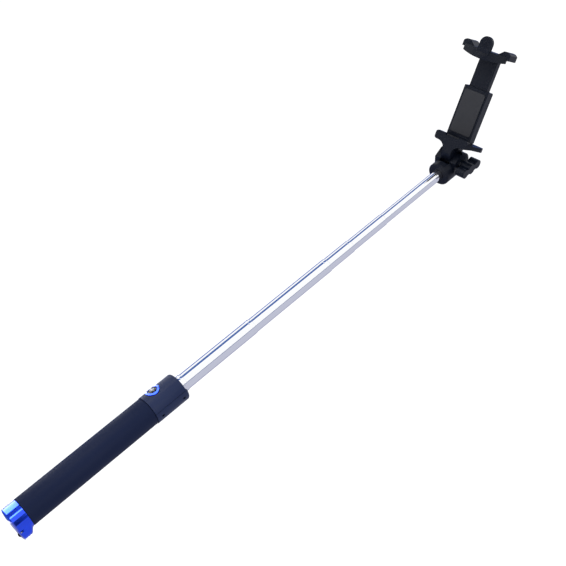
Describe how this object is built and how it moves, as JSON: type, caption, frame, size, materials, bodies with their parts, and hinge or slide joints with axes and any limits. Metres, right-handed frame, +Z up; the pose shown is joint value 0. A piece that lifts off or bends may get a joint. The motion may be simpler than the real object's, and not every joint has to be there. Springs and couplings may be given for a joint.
{
  "type": "selfie stick",
  "caption": "Hand-held telescopic stick with a button handle and a sprung clamp that tilts on a fork head to hold a phone.",
  "frame": {"origin": "on the axis of the handle, about halfway along the grip, 70 mm from the end of the cap", "axes": "+X along the long side of a clamped phone and along the tilt pivot, +Y away from the user, +Z up with the clamp upright; the stick slopes 32 degrees up along +Y"},
  "size_m": [0.05, 0.4384, 0.3944],
  "materials": {
    "blue_chrome": "blue mirror plating",
    "tube_chrome": "mirror plating",
    "soft_touch": "soft-touch",
    "black_plastic": "fine matte moulding",
    "gloss_black": "polished moulding",
    "rubber": "matte rubber",
    "nylon": "natural nylon",
    "black_steel": "black lacquer",
    "steel": "zinc plated",
    "brass": "turned",
    "board_green": "solder mask",
    "cell_wrap": "shrink sleeve",
    "lead_red": "wire insulation"
  },
  "bodies": {
    "handle": {"end_cap": "blue_chrome", "lanyard_pin": "steel", "core_tube": "black_plastic", "grip_sleeve": "soft_touch", "battery": "cell_wrap", "rear_bush": "nylon", "front_bush": "nylon", "button_board": "board_green", "charge_board": "board_green", "tact_switch": "steel", "lead_red": "lead_red", "lead_black": "rubber", "charge_socket": "steel", "power_switch": "steel", "collar_upper_shell": "black_plastic", "collar_lower_shell": "black_plastic", "button_bezel": "blue_chrome"},
    "lanyard": {"lanyard_ring": "black_steel"},
    "shutter": {"shutter_button": "gloss_black"},
    "power": {"power_slider": "gloss_black"},
    "mast_1": {"tube_1": "tube_chrome"},
    "mast_2": {"bush_2": "nylon", "tube_2": "tube_chrome"},
    "mast_3": {"bush_3": "nylon", "tube_3": "tube_chrome"},
    "mast_4": {"bush_4": "nylon", "tube_4": "tube_chrome"},
    "mast_5": {"bush_5": "nylon", "tube_5": "tube_chrome"},
    "head": {"bush_6": "nylon", "tube_6": "tube_chrome", "fork_head": "black_plastic", "set_screw": "steel", "pivot_bolt": "steel", "knob_washer": "steel"},
    "knob": {"wing_knob": "black_plastic", "knob_insert": "brass"},
    "clamp": {"lower_jaw": "black_plastic", "lower_pad": "rubber", "rail_housing": "black_plastic", "back_cover": "black_plastic", "cover_screw_1": "steel", "cover_screw_2": "steel", "cover_screw_3": "steel", "cover_screw_4": "steel", "seat_screw_1": "steel", "seat_screw_2": "steel", "back_pad": "rubber", "spring_pin_lower": "steel", "clamp_spring": "steel"},
    "upper": {"upper_jaw": "black_plastic", "upper_pad": "rubber", "spring_pin_upper": "steel"}
  },
  "joints": [
    {"name": "lanyard_swing", "type": "hinge", "parent": "handle", "child": "lanyard", "pos_m": [0.00796, -0.05516, -0.0408], "axis": [0.5592, -0.4393, 0.7031], "range_deg": [-35, 50]},
    {"name": "shutter_press", "type": "slide", "parent": "handle", "child": "shutter", "axis": [0.4067, 0.4841, -0.7747], "range_m": [0, 0.0005], "stiffness_N_per_m": 1500},
    {"name": "power_slide", "type": "slide", "parent": "handle", "child": "power", "axis": [0, 0.848, 0.5299], "range_m": [0, 0.0024]},
    {"name": "mast_turn", "type": "hinge", "parent": "handle", "child": "mast_1", "pos_m": [0, 0, 0], "axis": [0, 0.848, 0.5299], "continuous": true},
    {"name": "tube_2_slide", "type": "slide", "parent": "mast_1", "child": "mast_2", "axis": [0, 0.848, 0.5299], "range_m": [-0.0702, 0.024]},
    {"name": "tube_3_slide", "type": "slide", "parent": "mast_2", "child": "mast_3", "axis": [0, 0.848, 0.5299], "range_m": [-0.0865, 0.0052]},
    {"name": "tube_4_slide", "type": "slide", "parent": "mast_3", "child": "mast_4", "axis": [0, 0.848, 0.5299], "range_m": [-0.0267, 0.0625]},
    {"name": "tube_5_slide", "type": "slide", "parent": "mast_4", "child": "mast_5", "axis": [0, 0.848, 0.5299], "range_m": [-0.0409, 0.0459]},
    {"name": "tube_6_slide", "type": "slide", "parent": "mast_5", "child": "head", "axis": [0, 0.848, 0.5299], "range_m": [-0.0782, 0.0061]},
    {"name": "head_tilt", "type": "hinge", "parent": "head", "child": "clamp", "pos_m": [0, 0.36143, 0.23115], "axis": [1, 0, 0], "range_deg": [-148, 10]},
    {"name": "knob_turn", "type": "hinge", "parent": "head", "child": "knob", "pos_m": [0, 0.36143, 0.23115], "axis": [1, 0, 0], "range_deg": [-180, 180]},
    {"name": "jaw_slide", "type": "slide", "parent": "clamp", "child": "upper", "axis": [0, 0, 1], "range_m": [-0.022, 0.008], "stiffness_N_per_m": 600, "deforming": ["clamp_spring"]}
  ]
}
